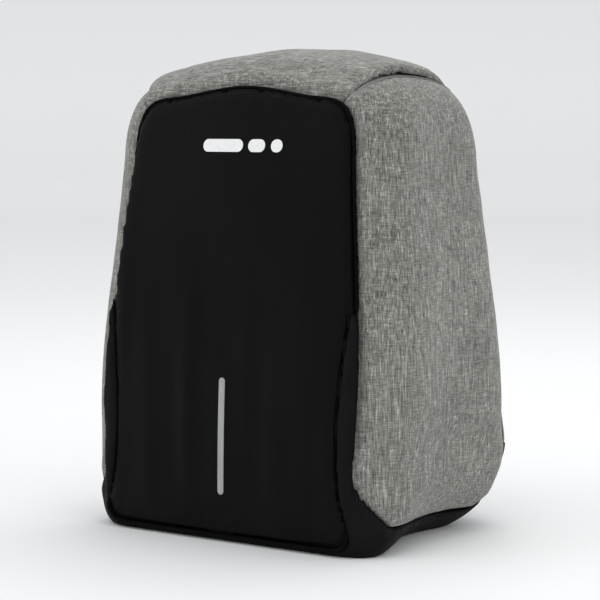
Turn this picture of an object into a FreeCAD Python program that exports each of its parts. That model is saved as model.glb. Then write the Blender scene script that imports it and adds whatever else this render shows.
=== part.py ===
"""Anti-theft day backpack: a stiff crowned front, a padded wrap-round gusset and a zipped back panel.

Millimetres. +Z up, the front faces -Y, and the origin is under the middle of the whole bag on the
surface that it stands on. Two tilted frames carry most pieces: the front frame lies in the leaning
front cap, and the rim frame lies in the rear edge of the gusset, where the main zip runs. In both,
y = 0 is that plane, +y points to the rear and z runs up the plane.
"""

import FreeCAD
import Part

import math
import os

V = FreeCAD.Vector
X_AXIS = V(1, 0, 0)
ORIGIN = V(0, 0, 0)

# ---- driving dimensions -------------------------------------------------------------------------
FRONT_Y = -130.2  # front cap plane at floor level
RIM_Y = 92.3  # rear edge of the gusset at floor level
FRONT_TILT = -5.0  # degrees, the front leans back towards the top
RIM_TILT = 5.2  # degrees, the rear leans forward towards the top
WALL = 5.0  # fabric, foam and lining of the gusset
BINDING = 1.2  # width of the corner seams
SEAM_RIGHT_Z, SEAM_LEFT_Z = 378.0, 362.0  # where the corner seams meet the front
GAP = 0.4  # running gap between bodies

# ---- outline of the bag in five planes from front to rear ----------------------------------------
# Half widths at the bottom corner, the widest level and the top corner; heights of the bottom, the
# widest level and the top; radii of the bottom and top corners. widest None: a straight side.
SECTIONS = [
    # y, tilt, (bottom, widest, top, z_bottom, z_widest, z_top, r_bottom, r_top)
    (FRONT_Y, FRONT_TILT, (135, 137, 121, 4, 137, 391, 29, 54)),
    (-109.2, -4.2, (159, 165, 149, -9, 145, 411, 48, 74)),
    (-38.2, -1.5, (157, 165, 150, -7, 135, 422, 72, 76)),
    (54.3, 3.0, (155, 162, 144, -5, 140, 422, 74, 88)),
    (RIM_Y, RIM_TILT, (141, None, 116, 34, 150, 408, 46, 76)),
]
FRONT_OUTLINE = SECTIONS[0][2]
RIM_OUTLINE = SECTIONS[-1][2]
TOP_SAG = 8.0  # drop of the top edge from its middle to the corner

# ---- front cover ---------------------------------------------------------------------------------
PIPING = 3.0  # width of the piping round the front cover
COVER_EDGE = 3.5  # thickness of the cover at its edge
CROWN_MID = 17.5  # thickness at the middle
CROWN_Z = 200.0  # level of the middle
CROWN_RX = 2245.0  # radius across
CROWN_RZ = 1750.0  # radius up and down
HORN_SEAM = (  # x and z of the seam beside the cover's lower corner, from its foot up
    (141.0, 1.0), (133.0, 22.0), (126.0, 48.0), (123.0, 75.0),
    (122.5, 105.0), (125.0, 145.0), (131.0, 195.0), (137.0, 240.0),
)
HORN_SINK = 1.2  # the base cloth lies this much lower than the cover
PRINT_LIFT = 0.5  # a heat transfer stands this proud
GLUE = 0.02  # film of glue under it
STRIP = (6.3, 100.0, 41.0)  # reflective strip: width, height, level of its foot
STRIP_X = 3.5  # its middle
MARK_Z = 339.0  # level of the printed mark
MARK_HEIGHT = 11.0
MARK_BARS = ((-13.0, 44.0), (24.0, 18.0), (45.5, 12.0))  # centre and length of each bar, left to right
BOARD = 2.0  # thickness of the stiffening boards

# ---- rear panel, in the rim frame ----------------------------------------------------------------
ZIP_INSET = 4.0  # the zip runs this far inside the rim
TAPE = 1.4  # thickness of the zip tape
COIL = 2.6  # coil height across the tape
COIL_WIDTH = 1.5
COIL_GAP = 0.9  # between the two coils
ZIP_FOOT = 80.0  # level where the zip ends
PANEL_FRONT = 11.0  # inner face of the rear panel
PANEL_BACK = 20.0  # outer face
PANEL_FOOT = 40.0  # lower edge
PANEL_INSET = 3.0
HINGE_Y = 17.0
HINGE_Z = 36.0
PIPE_R = 3.0
PAD = 8.0  # thickness of the back pads

SLEEVE_TOP = 318.0
TAB_R = 1.2  # half thickness of the sleeve's closing tab
TAB_Y = PANEL_FRONT - 1.6
TAB_Z = SLEEVE_TOP + 1.5

# ---- zip sliders ---------------------------------------------------------------------------------
SLIDER_LENGTH = 13.0
SLIDER_WIDTH = 8.6
SLIDER_PLATE = 1.3
SLIDER_CLEAR = 0.35
MEET_Z = 215.0  # level where the two closed sliders meet, on the right-hand side
UPPER_PULL = 9.8  # a stub, so that the lower pull can swing out beneath it
LOWER_PULL = 30.0
PULL_WIDTH = 7.0
PULL_THICK = 1.6

# ---- carry handle --------------------------------------------------------------------------------
HANDLE_X = 48.0
HANDLE_Z = 396.0
HANDLE_Y = 33.0
HANDLE_DROP = 44.0
WEB = 22.0  # webbing width of the handle
WEB_THICK = 3.0

# ---- shoulder straps, in the rim frame -----------------------------------------------------------
STRAP_STATIONS = [
    # x, y, z, width, thickness, from the yoke down
    (44.0, 27.2, 335.0, 50.0, 6.0),
    (48.0, 40.0, 311.0, 56.0, 10.0),
    (56.0, 49.0, 268.0, 58.0, 12.0),
    (62.0, 51.0, 215.0, 52.0, 12.0),
    (66.0, 48.0, 172.0, 42.0, 11.0),
    (68.0, 45.0, 150.0, 34.0, 9.0),
]
LOCK_X, LOCK_Y, LOCK_Z = 68.0, 45.0, 140.0  # top bar of the ladder lock
LOCK_HEIGHT = 30.0
LOCK_WIDTH = 36.0
BAR_R = 2.0
STRAP_WEB = 25.0
STRAP_WEB_THICK = 1.8
ANCHOR_Z = 78.0
ANCHOR_X = 96.0
TAIL_LENGTH = 62.0

# ---- charging port in the left side --------------------------------------------------------------
PORT = V(-154.4, 28.8, 250.0)  # middle of the port, on the wall's outer face
PORT_LEAN = 6.3  # degrees, as the wall leans in
PORT_SIZE = (22.0, 40.0)  # along y, along z
PORT_PLATE = 3.0
SOCKET = (5.7, 13.1, 15.0)  # metal shell of the socket: along y, along z, depth


# ---- helpers -------------------------------------------------------------------------------------
def outline(bottom, widest, top, z_bottom, z_widest, z_top, r_bottom, r_top, inset=0.0, floor=None):
    """A closed smooth outline in the plane y = 0: a rounded, bulging trapezium."""
    bottom, top = bottom - inset, top - inset
    z_bottom, z_top = z_bottom + inset, z_top - inset
    if floor is not None:
        z_bottom = max(z_bottom, floor)
    r_bottom, r_top = r_bottom - 0.6 * inset, r_top - 0.6 * inset
    low, high = z_bottom + r_bottom, z_top - r_top
    side = V(top - bottom, 0, high - low).normalize()
    if widest is None:
        widest = bottom + (top - bottom) * (z_widest - low) / (high - low)
        up = side
    else:
        widest -= inset
        up = V(0, 0, 1)
    right = [
        (V(bottom - r_bottom, 0, z_bottom), X_AXIS),
        (V(bottom, 0, low), up),
        (V(widest, 0, z_widest), up),
        (V(top, 0, high), side),
        (V(top - r_top, 0, z_top - TOP_SAG), V(-1, 0, 0.15).normalize()),
        (V(0, 0, z_top), V(-1, 0, 0)),
    ]
    left = [(V(-p.x, 0, p.z), V(t.x, 0, -t.z)) for p, t in reversed(right[:-1])]
    stations = [(V(0, 0, z_bottom), X_AXIS)] + right + left
    curve = Part.BSplineCurve()
    curve.interpolate(
        Points=[p for p, _ in stations],
        Tangents=[t for _, t in stations],
        TangentFlags=[True] * len(stations),
        PeriodicFlag=True,
        Parameters=[float(i) for i in range(len(stations) + 1)],
    )
    return Part.Wire(curve.toShape())


def placed(shape, y, tilt):
    """A copy of a shape, moved from a tilted plane's own frame into the bag's frame."""
    shape = shape.copy()
    shape.rotate(ORIGIN, X_AXIS, tilt)
    shape.translate(V(0, y, 0))
    return shape


def front(shape):
    return placed(shape, FRONT_Y, FRONT_TILT)


def rim(shape):
    return placed(shape, RIM_Y, RIM_TILT)


def rim_point(y, z, x=0.0):
    """A point given in the rim frame, in the bag's frame."""
    a = math.radians(RIM_TILT)
    return V(x, RIM_Y + y * math.cos(a) - z * math.sin(a), y * math.sin(a) + z * math.cos(a))


def block(x0, x1, y0, y1, z0, z1):
    return Part.makeBox(x1 - x0, y1 - y0, z1 - z0, V(x0, y0, z0))


def rounded(shape, radius, along):
    """Fillets the edges of a box that run along one axis, 'x', 'y' or 'z'."""
    chosen = []
    for edge in shape.Edges:
        d = edge.Vertexes[-1].Point - edge.Vertexes[0].Point
        if d.Length > 0 and abs(getattr(d, along)) / d.Length > 0.999:
            chosen.append(edge)
    return shape.makeFillet(radius, chosen)


def slab(wire, y0, y1):
    """The solid that a closed wire in the plane y = 0 sweeps from y0 to y1."""
    face = Part.Face(wire)
    face.translate(V(0, y0, 0))
    return face.extrude(V(0, y1 - y0, 0))


def band(dims, inset, thick, y0, y1):
    """A ring between two insets of an outline, from y0 to y1."""
    outer = slab(outline(*dims, inset=inset), y0, y1)
    return outer.cut(slab(outline(*dims, inset=inset + thick), y0 - 1, y1 + 1))


def mirrored(shape):
    return shape.mirror(ORIGIN, X_AXIS)


def group(shapes):
    return Part.makeCompound(shapes)


def single(shape):
    """The one solid of a boolean's result; the largest if slivers came with it."""
    solids = sorted(shape.Solids, key=lambda s: s.Volume)
    return solids[-1]


# ---- shell: gusset, base and boards --------------------------------------------------------------
def loft(inset):
    """The bag's outer form, or its inside at an inset, open to the rear."""
    wires = []
    for n, (y, tilt, dims) in enumerate(SECTIONS):
        last = n == len(SECTIONS) - 1
        shift = inset if n == 0 else (1.0 if last and inset else 0.0)
        wire = outline(*dims, inset=inset, floor=inset if inset else None)
        wires.append(placed(wire, y + shift, tilt))
    return Part.makeLoft(wires, True, False)


def gusset_ring():
    """The wrap-round wall, cut flat where it stands."""
    above_floor = block(-300, 300, -300, 300, 0, 600)
    outer = loft(0).common(above_floor)
    cap = front(block(-300, 300, -60, WALL, -60, 600))
    ring = outer.cut(loft(WALL))
    core = front(slab(outline(*FRONT_OUTLINE, inset=WALL), -1, WALL))
    return single(ring.cut(core).cut(cap.common(loft(WALL))))


def base_zone():
    """Everything below and in front of the line where grey cloth meets the black base."""
    lean = math.tan(math.radians(-FRONT_TILT))
    bend_z, sill_z, low_z, reach = 66.0, 24.0, 18.0, 22.0
    edge_y = FRONT_Y + bend_z * lean + 0.5
    bend = V(-400, edge_y, bend_z)
    foot = V(-400, edge_y + reach, sill_z)
    middle = V(-400, edge_y + 0.24 * reach, sill_z + 0.47 * (bend_z - sill_z))
    rear = V(-400, 56, low_z)
    tail = V(-400, 130, low_z + 43)
    corners = [rear, tail, V(-400, 300, -50), V(-400, -300, -50), V(-400, -300, bend_z), bend]
    edges = [Part.Arc(bend, middle, foot).toShape(), Part.LineSegment(foot, rear).toShape()]
    edges += [Part.LineSegment(a, b).toShape() for a, b in zip(corners[:-1], corners[1:])]
    return Part.Face(Part.Wire(edges)).extrude(V(800, 0, 0))


def above_seam(offset, start_z):
    """The half space above a right-hand corner seam, shifted outwards by an offset."""
    lean, twist = math.radians(47.0), math.radians(3.0)
    normal = V(-math.sin(lean), math.sin(twist), math.cos(lean)).normalize()
    big = block(-500, 500, -500, 500, 0, 500)
    big.rotate(ORIGIN, V(0, 0, 1).cross(normal), math.degrees(V(0, 0, 1).getAngle(normal)))
    big.translate(V(105, -95, start_z) + normal * offset)
    return big


def shell_pieces():
    ring = gusset_ring()
    low = base_zone()
    base = ring.common(low)
    for horn in base_horns():
        base = base.fuse(horn)
    base = single(base)
    upper = single(ring.cut(low))
    right_half = block(0, 300, -300, 300, 0, 600)
    sides = []
    bindings = []
    top = upper
    for turn, start_z in ((lambda s: s, SEAM_RIGHT_Z), (mirrored, SEAM_LEFT_Z)):
        above = turn(above_seam(BINDING, start_z))
        edge = turn(above_seam(0, start_z))
        half = turn(right_half)
        top = top.common(above)
        sides.append(single(upper.cut(edge).common(half)))
        bindings.append(single(upper.common(edge).cut(above).common(half)))
    side_right = sides[0]
    side_left = single(sides[1].cut(on_wall(port_block(5.0, 20.0, 10.0))))
    top = single(top)
    bindings = group(bindings)
    return base, top, side_left, side_right, bindings


def front_board():
    return front(slab(outline(*FRONT_OUTLINE, inset=WALL), 0, BOARD))


def front_lining():
    """Foam and lining behind the stiffening board."""
    return front(slab(outline(*FRONT_OUTLINE, inset=WALL), BOARD, WALL))


def base_board():
    board = block(-88, 88, -84, 30, WALL + 1.4, WALL + BOARD + 1.4)
    return rounded(board, 18, "z")


# ---- front cover ---------------------------------------------------------------------------------
def crown(lift=0.0):
    """The solid behind the crowned front surface, in the front frame."""
    nose = -CROWN_MID - lift
    low, high = CROWN_Z - 260.0, CROWN_Z + 260.0
    drop = 260.0**2 / (2 * CROWN_RZ)
    arc = Part.Arc(V(0, nose + drop, low), V(0, nose, CROWN_Z), V(0, nose + drop, high)).toShape()
    back = 40.0
    lines = [
        Part.LineSegment(V(0, nose + drop, high), V(0, back, high)).toShape(),
        Part.LineSegment(V(0, back, high), V(0, back, low)).toShape(),
        Part.LineSegment(V(0, back, low), V(0, nose + drop, low)).toShape(),
    ]
    face = Part.Face(Part.Wire([arc] + lines))
    axis_point = V(0, nose + CROWN_RX, 0)
    half_turn = 5.0
    face.rotate(axis_point, V(0, 0, 1), -half_turn)
    return face.revolve(axis_point, V(0, 0, 1), 2 * half_turn)


def horns():
    """Two upright prisms outside the seams where base cloth rises beside the front cover."""
    points = [V(x, 0, z) for x, z in HORN_SEAM]
    seam = Part.BSplineCurve()
    seam.interpolate(points)
    outside = [points[-1], V(200, 0, points[-1].z), V(200, 0, points[0].z), points[0]]
    edges = [seam.toShape()]
    edges += [Part.LineSegment(a, b).toShape() for a, b in zip(outside[:-1], outside[1:])]
    prism = Part.Face(Part.Wire(edges)).extrude(V(0, 60, 0))
    prism.translate(V(0, -40, 0))
    return [prism, mirrored(prism)]


def front_cover():
    cover = crown().common(slab(outline(*FRONT_OUTLINE, inset=PIPING), -30, 0))
    for horn in horns():
        cover = cover.cut(horn)
    return front(single(cover))


def base_horns():
    """Base cloth beside the cover's lower corners, a little lower than the cover's face."""
    strip = crown(-HORN_SINK).common(slab(outline(*FRONT_OUTLINE), -30, 0))
    return [front(single(strip.common(horn))) for horn in horns()]


def front_piping():
    ring = band(FRONT_OUTLINE, 0, PIPING, -COVER_EDGE - 1.0, 0)
    for horn in horns():
        ring = ring.cut(horn)
    return front(ring)


def bar(width, height, x, z):
    """An upright bar with round ends, long enough in y to cut the crowned front."""
    r = min(width, height) / 2 - 0.01
    return rounded(block(x - width / 2, x + width / 2, -40, -1, z - height / 2, z + height / 2), r, "y")


def transfer(shapes):
    """A heat transfer of those outlines, laid on the crowned front."""
    skin = crown(PRINT_LIFT).cut(crown(GLUE))
    return [front(single(skin.common(s))) for s in shapes]


def reflective_strip():
    width, height, foot = STRIP
    return transfer([bar(width, height, STRIP_X, foot + height / 2)])[0]


def printed_mark():
    return group(transfer([bar(length, MARK_HEIGHT, x, MARK_Z) for x, length in MARK_BARS]))


# ---- pockets inside ------------------------------------------------------------------------------
def pocket(x0, x1, y0, y1, z0, z1, wall):
    """An open-topped pocket of cloth."""
    return block(x0, x1, y0, y1, z0, z1).cut(
        block(x0 + wall, x1 - wall, y0 + wall, y1 - wall, z0 + wall, z1 + 1)
    )


def organizer_pocket():
    """Two upright pockets side by side behind the front, hung from a hem sewn to the lining."""
    y0, y1, low, high, wall = FRONT_Y + 23.4, FRONT_Y + 43.4, 52.0, 205.0, 2.0
    body = pocket(-92, 92, y0, y1, low, high, wall)
    divider = block(18, 18 + wall, y0 + wall, y1 - wall, low + wall, high)
    hem = block(-92, 92, y0 - 20, y0 + wall, high - 8, high)
    hem = hem.cut(front(slab(outline(*FRONT_OUTLINE, inset=WALL), -20, WALL)))
    return single(body.fuse(divider).fuse(single(hem)))


def battery_pocket():
    """Holds the power bank against the side wall, below the charging port."""
    low, high = 78.0, 182.0
    cloth = block(-200, -124, -40, 40, low, high).common(loft(WALL))
    return single(cloth.cut(block(-146, -126, -38, 38, low + 2, high + 1)))


# ---- zip ----------------------------------------------------------------------------------------
ABOVE_ZIP_FOOT = block(-300, 300, -40, 60, ZIP_FOOT, 600)


ZIP_MID = PANEL_FRONT / 2
SHELL_COIL = (ZIP_MID - COIL_GAP / 2 - COIL_WIDTH, ZIP_MID - COIL_GAP / 2)
PANEL_COIL = (ZIP_MID + COIL_GAP / 2, ZIP_MID + COIL_GAP / 2 + COIL_WIDTH)


def zip_tape(y0, y1):
    return rim(single(band(RIM_OUTLINE, ZIP_INSET, TAPE, y0, y1).common(ABOVE_ZIP_FOOT)))


def zip_coil(y0, y1):
    inset = ZIP_INSET + (TAPE - COIL) / 2
    ring = band(RIM_OUTLINE, inset, COIL, y0, y1)
    return rim(single(ring.common(ABOVE_ZIP_FOOT)))


def zip_stops():
    """The moulded bottom stop at each end of the zip, carried by the gusset."""
    x = zip_track_x(ZIP_FOOT)
    stop = block(x - 2.6, x + 2.6, 0.6, SHELL_COIL[1], ZIP_FOOT - 7, ZIP_FOOT - 0.2)
    return group([rim(stop), mirrored(rim(stop))])


def zip_track_x(z):
    """Half width of the zip at a level on the straight side of the rim."""
    bottom, _, top, z_bottom, _, z_top, r_bottom, r_top = RIM_OUTLINE
    low = z_bottom + ZIP_INSET + r_bottom - 0.6 * ZIP_INSET
    high = z_top - ZIP_INSET - r_top + 0.6 * ZIP_INSET
    share = (z - low) / (high - low)
    return bottom - ZIP_INSET + (top - bottom) * share - TAPE / 2


def track_angle():
    """Degrees by which the straight zip leans inwards from upright, seen from the rear."""
    rise = 100.0
    return math.degrees(math.atan((zip_track_x(0) - zip_track_x(rise)) / rise))


def on_track(shape, z):
    """Moves a shape built upright at the origin onto the right-hand zip track at a level."""
    shape = shape.copy()
    shape.rotate(ORIGIN, V(0, 1, 0), -track_angle())
    shape.translate(V(zip_track_x(z), ZIP_MID, z))
    return rim(shape)


def slider():
    """Two plates either side of the coils, joined by a thin web between them, with a pull bridge."""
    inner = COIL / 2 + SLIDER_CLEAR
    outer = inner + SLIDER_PLATE
    half_y, half_z = SLIDER_WIDTH / 2, SLIDER_LENGTH / 2
    plate = rounded(block(inner, outer, -half_y, half_y, -half_z, half_z), 2.4, "x")
    web_half = COIL_GAP / 2 - 0.12
    web = block(-outer, outer, -web_half, web_half, -1.5, 1.5)
    bridge = rounded(block(inner, outer + 3.4, -1.4, 1.4, -3.4, 3.4), 0.8, "y")
    bridge = bridge.cut(block(outer, outer + 1.9, -2, 2, -1.9, 1.9))
    return plate.fuse(mirrored(plate)).fuse(web).fuse(bridge)


PULL_PIN_X = COIL / 2 + SLIDER_CLEAR + SLIDER_PLATE + 0.95


def pull_tab(stand, length):
    """A pull that hangs from the bridge by its own bar: a flat tab that stands off from the pin."""
    eye_r = 0.75
    bar_piece = Part.makeCylinder(eye_r, PULL_WIDTH, V(PULL_PIN_X, -PULL_WIDTH / 2, 0), V(0, 1, 0))
    lift = PULL_PIN_X + stand
    arm = block(PULL_PIN_X - eye_r, lift + PULL_THICK, PULL_WIDTH / 2 - 1.6, PULL_WIDTH / 2, -6.0, 0)
    other = arm.copy()
    other.translate(V(0, -PULL_WIDTH + 1.6, 0))
    tab = block(lift, lift + PULL_THICK, -PULL_WIDTH / 2, PULL_WIDTH / 2, -length, -5.0)
    tab = rounded(tab, 0.5, "z")
    return bar_piece.fuse(arm).fuse(other).fuse(tab)


# ---- rear panel ----------------------------------------------------------------------------------
ABOVE_PANEL_FOOT = block(-300, 300, -60, 120, PANEL_FOOT, 600)


def rear_panel():
    body = slab(outline(*RIM_OUTLINE, inset=PANEL_INSET), PANEL_FRONT + BOARD, PANEL_BACK)
    return rim(single(body.common(ABOVE_PANEL_FOOT)))


def rear_board():
    body = slab(outline(*RIM_OUTLINE, inset=PANEL_INSET), PANEL_FRONT, PANEL_FRONT + BOARD)
    return rim(single(body.common(ABOVE_PANEL_FOOT)))


def hinge_strip():
    """Base cloth between the gusset and the roll of piping that the rear panel turns on; it also
    closes the gap beside the panel's foot, up to the ends of the zip."""
    strip = block(-92, 92, 0.2, HINGE_Y - 1, HINGE_Z - 1.6, HINGE_Z + 1.6)
    roll = Part.makeCylinder(PIPE_R, 184, V(-92, HINGE_Y, HINGE_Z), X_AXIS)
    rise = band(RIM_OUTLINE, 0.6, 2.0, 0.2, PANEL_FRONT - 0.6)
    rise = rise.common(block(-300, 300, -1, 30, 0, ZIP_FOOT - 8))
    return rim(single(strip.fuse(roll).fuse(rise)))


def back_pad(x0, x1, z0, z1, radius):
    body = rounded(block(x0, x1, PANEL_BACK, PANEL_BACK + PAD, z0, z1), radius, "y")
    rear_edges = [e for e in body.Edges if min(v.Point.y for v in e.Vertexes) > PANEL_BACK + PAD - 0.01]
    return rim(body.makeFillet(3.0, rear_edges))


def luggage_strap():
    """A flat band over the lower back, bowed so that a case's handle slides behind it."""
    half, low, high, thick, bow = 102.0, 168.0, 224.0, 2.0, 22.0
    face_y = PANEL_BACK
    ends = 14.0
    inner = Part.Arc(V(-half + ends, face_y, 0), V(0, face_y + bow, 0), V(half - ends, face_y, 0)).toShape()
    outer = Part.Arc(
        V(half - ends, face_y + thick, 0), V(0, face_y + bow + thick, 0), V(-half + ends, face_y + thick, 0)
    ).toShape()
    tips = [
        (V(half - ends, face_y, 0), V(half, face_y, 0)),
        (V(half, face_y, 0), V(half, face_y + thick, 0)),
        (V(half, face_y + thick, 0), V(half - ends, face_y + thick, 0)),
        (V(-half + ends, face_y + thick, 0), V(-half, face_y + thick, 0)),
        (V(-half, face_y + thick, 0), V(-half, face_y, 0)),
        (V(-half, face_y, 0), V(-half + ends, face_y, 0)),
    ]
    right = [Part.LineSegment(a, b).toShape() for a, b in tips[:3]]
    left = [Part.LineSegment(a, b).toShape() for a, b in tips[3:]]
    face = Part.Face(Part.Wire([inner] + right + [outer] + left))
    face.translate(V(0, 0, low))
    return rim(face.extrude(V(0, 0, high - low)))


def laptop_sleeve():
    """A deep pocket on the rear panel, thicker at its gusseted foot."""
    wall, low, top_y, foot_y = 3.0, 50.0, PANEL_FRONT - 30.0, PANEL_FRONT - 40.5
    outer = [(PANEL_FRONT, low), (PANEL_FRONT, SLEEVE_TOP), (top_y, SLEEVE_TOP), (foot_y, low)]
    inner = [
        (PANEL_FRONT - wall, low + wall),
        (PANEL_FRONT - wall, SLEEVE_TOP + 1),
        (top_y + wall, SLEEVE_TOP + 1),
        (foot_y + wall + 0.1, low + wall),
    ]
    solids = []
    for corners, half in ((outer, 97.0), (inner, 97.0 - wall)):
        points = [V(-half, y, z) for y, z in corners]
        solids.append(Part.Face(Part.makePolygon(points + points[:1])).extrude(V(2 * half, 0, 0)))
    return rim(solids[0].cut(solids[1]))


def sleeve_tab():
    """The hook-and-loop tab that closes the sleeve's mouth, turning on its sewn edge."""
    y0 = PANEL_FRONT - 30.0
    over = block(-19, 19, y0 - 2.7, TAB_Y, TAB_Z - TAB_R, TAB_Z + TAB_R)
    end_y, end_z = y0 - 1.5, TAB_Z - 34
    side = [(y0 - 0.4, SLEEVE_TOP), (end_y - 0.4, end_z), (end_y - 2.7, end_z), (y0 - 2.7, SLEEVE_TOP)]
    side = [(y0 - 0.4, TAB_Z + TAB_R)] + side + [(y0 - 2.7, TAB_Z + TAB_R)]
    points = [V(-19, y, z) for y, z in side]
    down = Part.Face(Part.makePolygon(points + points[:1])).extrude(V(38, 0, 0))
    roll = Part.makeCylinder(TAB_R, 38, V(-19, TAB_Y, TAB_Z), X_AXIS)
    return rim(over.fuse(down).fuse(roll))


# ---- shoulder straps and handle ------------------------------------------------------------------
def strap_section(x, y, z, width, thick):
    """A rounded oblong in the level plane z."""
    r = 0.45 * thick
    w, t = width / 2, thick / 2
    k = r * (1 - math.sqrt(0.5))
    arcs = [
        (V(w - r, -t, 0), V(w - k, -t + k, 0), V(w, -t + r, 0)),
        (V(w, t - r, 0), V(w - k, t - k, 0), V(w - r, t, 0)),
        (V(-w + r, t, 0), V(-w + k, t - k, 0), V(-w, t - r, 0)),
        (V(-w, -t + r, 0), V(-w + k, -t + k, 0), V(-w + r, -t, 0)),
    ]
    edges = []
    for n, (a, m, b) in enumerate(arcs):
        edges.append(Part.Arc(a, m, b).toShape())
        edges.append(Part.LineSegment(b, arcs[(n + 1) % 4][0]).toShape())
    wire = Part.Wire(edges)
    wire.translate(V(x, y, z))
    return wire


def shoulder_pad():
    return rim(Part.makeLoft([strap_section(*s) for s in STRAP_STATIONS], True, False))


def strap_yoke():
    """The stitched plate that the straps' tops are sewn to."""
    plate = rounded(block(-78, 78, PANEL_BACK, PANEL_BACK + 4.2, 317, 343), 6, "y")
    return rim(plate)


def lock_loop():
    """The sewn loop at the strap's lower end, round the ladder lock's top bar."""
    half = 11.0
    body = block(LOCK_X - half, LOCK_X + half, LOCK_Y - 4, LOCK_Y + 4, LOCK_Z - 4, 150)
    body = body.cut(Part.makeCylinder(BAR_R + GAP, 40, V(LOCK_X - 20, LOCK_Y, LOCK_Z), X_AXIS))
    return rim(body)


def ladder_lock():
    """Moulded frame with three bars; the upper one is held by the strap's loop."""
    half = LOCK_WIDTH / 2
    rail = 3.4
    low = LOCK_Z - LOCK_HEIGHT
    frame = None
    for x in (LOCK_X - half, LOCK_X + half - rail):
        side = rounded(block(x, x + rail, LOCK_Y - 2.2, LOCK_Y + 2.2, low - 2, LOCK_Z + 3), 1.6, "x")
        frame = side if frame is None else frame.fuse(side)
    for z in (LOCK_Z, LOCK_Z - 15, low):
        y = LOCK_Y if z != low else LOCK_Y + 0.4
        frame = frame.fuse(Part.makeCylinder(BAR_R, LOCK_WIDTH - 1, V(LOCK_X - half + 0.5, y, z), X_AXIS))
    lip = rounded(block(LOCK_X - 12, LOCK_X + 12, LOCK_Y + 0.6, LOCK_Y + 3.4, low - 5, low + 1), 1.2, "x")
    return rim(frame.fuse(lip))


def strap_tail():
    """Webbing over the middle bar, and the free tail that hangs from it."""
    half = STRAP_WEB / 2
    z = LOCK_Z - 15
    turn_r = BAR_R + 0.05
    turn = Part.makeCylinder(turn_r + STRAP_WEB_THICK, STRAP_WEB, V(LOCK_X - half, LOCK_Y, z), X_AXIS)
    turn = turn.cut(Part.makeCylinder(turn_r, STRAP_WEB + 2, V(LOCK_X - half - 1, LOCK_Y, z), X_AXIS))
    turn = turn.common(block(0, 300, LOCK_Y - 10, LOCK_Y + 10, z, z + 20))
    front_y = LOCK_Y + turn_r
    drop = block(LOCK_X - half, LOCK_X + half, front_y, front_y + STRAP_WEB_THICK, z - 9, z + 0.01)
    hang_y = LOCK_Y + 4.2
    step = block(LOCK_X - half, LOCK_X + half, front_y, hang_y + STRAP_WEB_THICK, z - 9.5, z - 7.7)
    tail = block(LOCK_X - half, LOCK_X + half, hang_y, hang_y + STRAP_WEB_THICK, z - TAIL_LENGTH, z - 7.7)
    return rim(turn.fuse(drop).fuse(step).fuse(tail))


def strap_webbing():
    """Webbing from behind the ladder lock down to the anchor wing."""
    thick, half = STRAP_WEB_THICK, STRAP_WEB / 2
    stations = [
        (LOCK_X, LOCK_Y - 4.2, LOCK_Z - 15.4),
        (LOCK_X, LOCK_Y - 4.6, LOCK_Z - 32),
        (ANCHOR_X - 5, PANEL_BACK + 12, ANCHOR_Z + 16),
        (ANCHOR_X, PANEL_BACK + 4.4, ANCHOR_Z - 4),
    ]
    wires = []
    for x, y, z in stations:
        corners = [(-half, -thick / 2), (half, -thick / 2), (half, thick / 2), (-half, thick / 2)]
        points = [V(x + dx, y + dy, z) for dx, dy in corners]
        wires.append(Part.makePolygon(points + points[:1]))
    return rim(Part.makeLoft(wires, True, True))


def anchor_wing():
    """Triangular tab, sewn to the panel's lower corner, that holds the webbing's end."""
    corners = [(ANCHOR_X - 16, 96), (ANCHOR_X + 14, 96), (ANCHOR_X + 17, 66), (ANCHOR_X - 6, 52)]
    points = [V(x, PANEL_BACK, z) for x, z in corners]
    face = Part.Face(Part.makePolygon(points + points[:1]))
    return rim(face.extrude(V(0, 3.4, 0)))


def handle_arch(thick, half_width, y):
    """A hanging U of webbing with round corners, built at its own pivot."""
    r = 24.0
    x, drop = HANDLE_X, HANDLE_DROP
    k = r * (1 - math.sqrt(0.5))
    outer = [
        Part.LineSegment(V(x, 0, -3.6), V(x, 0, -drop + r)).toShape(),
        Part.Arc(V(x, 0, -drop + r), V(x - k, 0, -drop + k), V(x - r, 0, -drop)).toShape(),
        Part.LineSegment(V(x - r, 0, -drop), V(-x + r, 0, -drop)).toShape(),
        Part.Arc(V(-x + r, 0, -drop), V(-x + k, 0, -drop + k), V(-x, 0, -drop + r)).toShape(),
        Part.LineSegment(V(-x, 0, -drop + r), V(-x, 0, -3.6)).toShape(),
    ]
    inner_x, ri = x - thick, r - thick
    ki = ri * (1 - math.sqrt(0.5))
    up = -drop + thick
    inner = [
        Part.LineSegment(V(-x, 0, -3.6), V(-inner_x, 0, -3.6)).toShape(),
        Part.LineSegment(V(-inner_x, 0, -3.6), V(-inner_x, 0, -drop + r)).toShape(),
        Part.Arc(V(-inner_x, 0, -drop + r), V(-inner_x + ki, 0, up + ki), V(-x + r, 0, up)).toShape(),
        Part.LineSegment(V(-x + r, 0, up), V(x - r, 0, up)).toShape(),
        Part.Arc(V(x - r, 0, up), V(inner_x - ki, 0, up + ki), V(inner_x, 0, -drop + r)).toShape(),
        Part.LineSegment(V(inner_x, 0, -drop + r), V(inner_x, 0, -3.6)).toShape(),
        Part.LineSegment(V(inner_x, 0, -3.6), V(x, 0, -3.6)).toShape(),
    ]
    face = Part.Face(Part.Wire(outer + inner))
    face.translate(V(0, y - half_width, HANDLE_Z))
    return face.extrude(V(0, 2 * half_width, 0))


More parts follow.
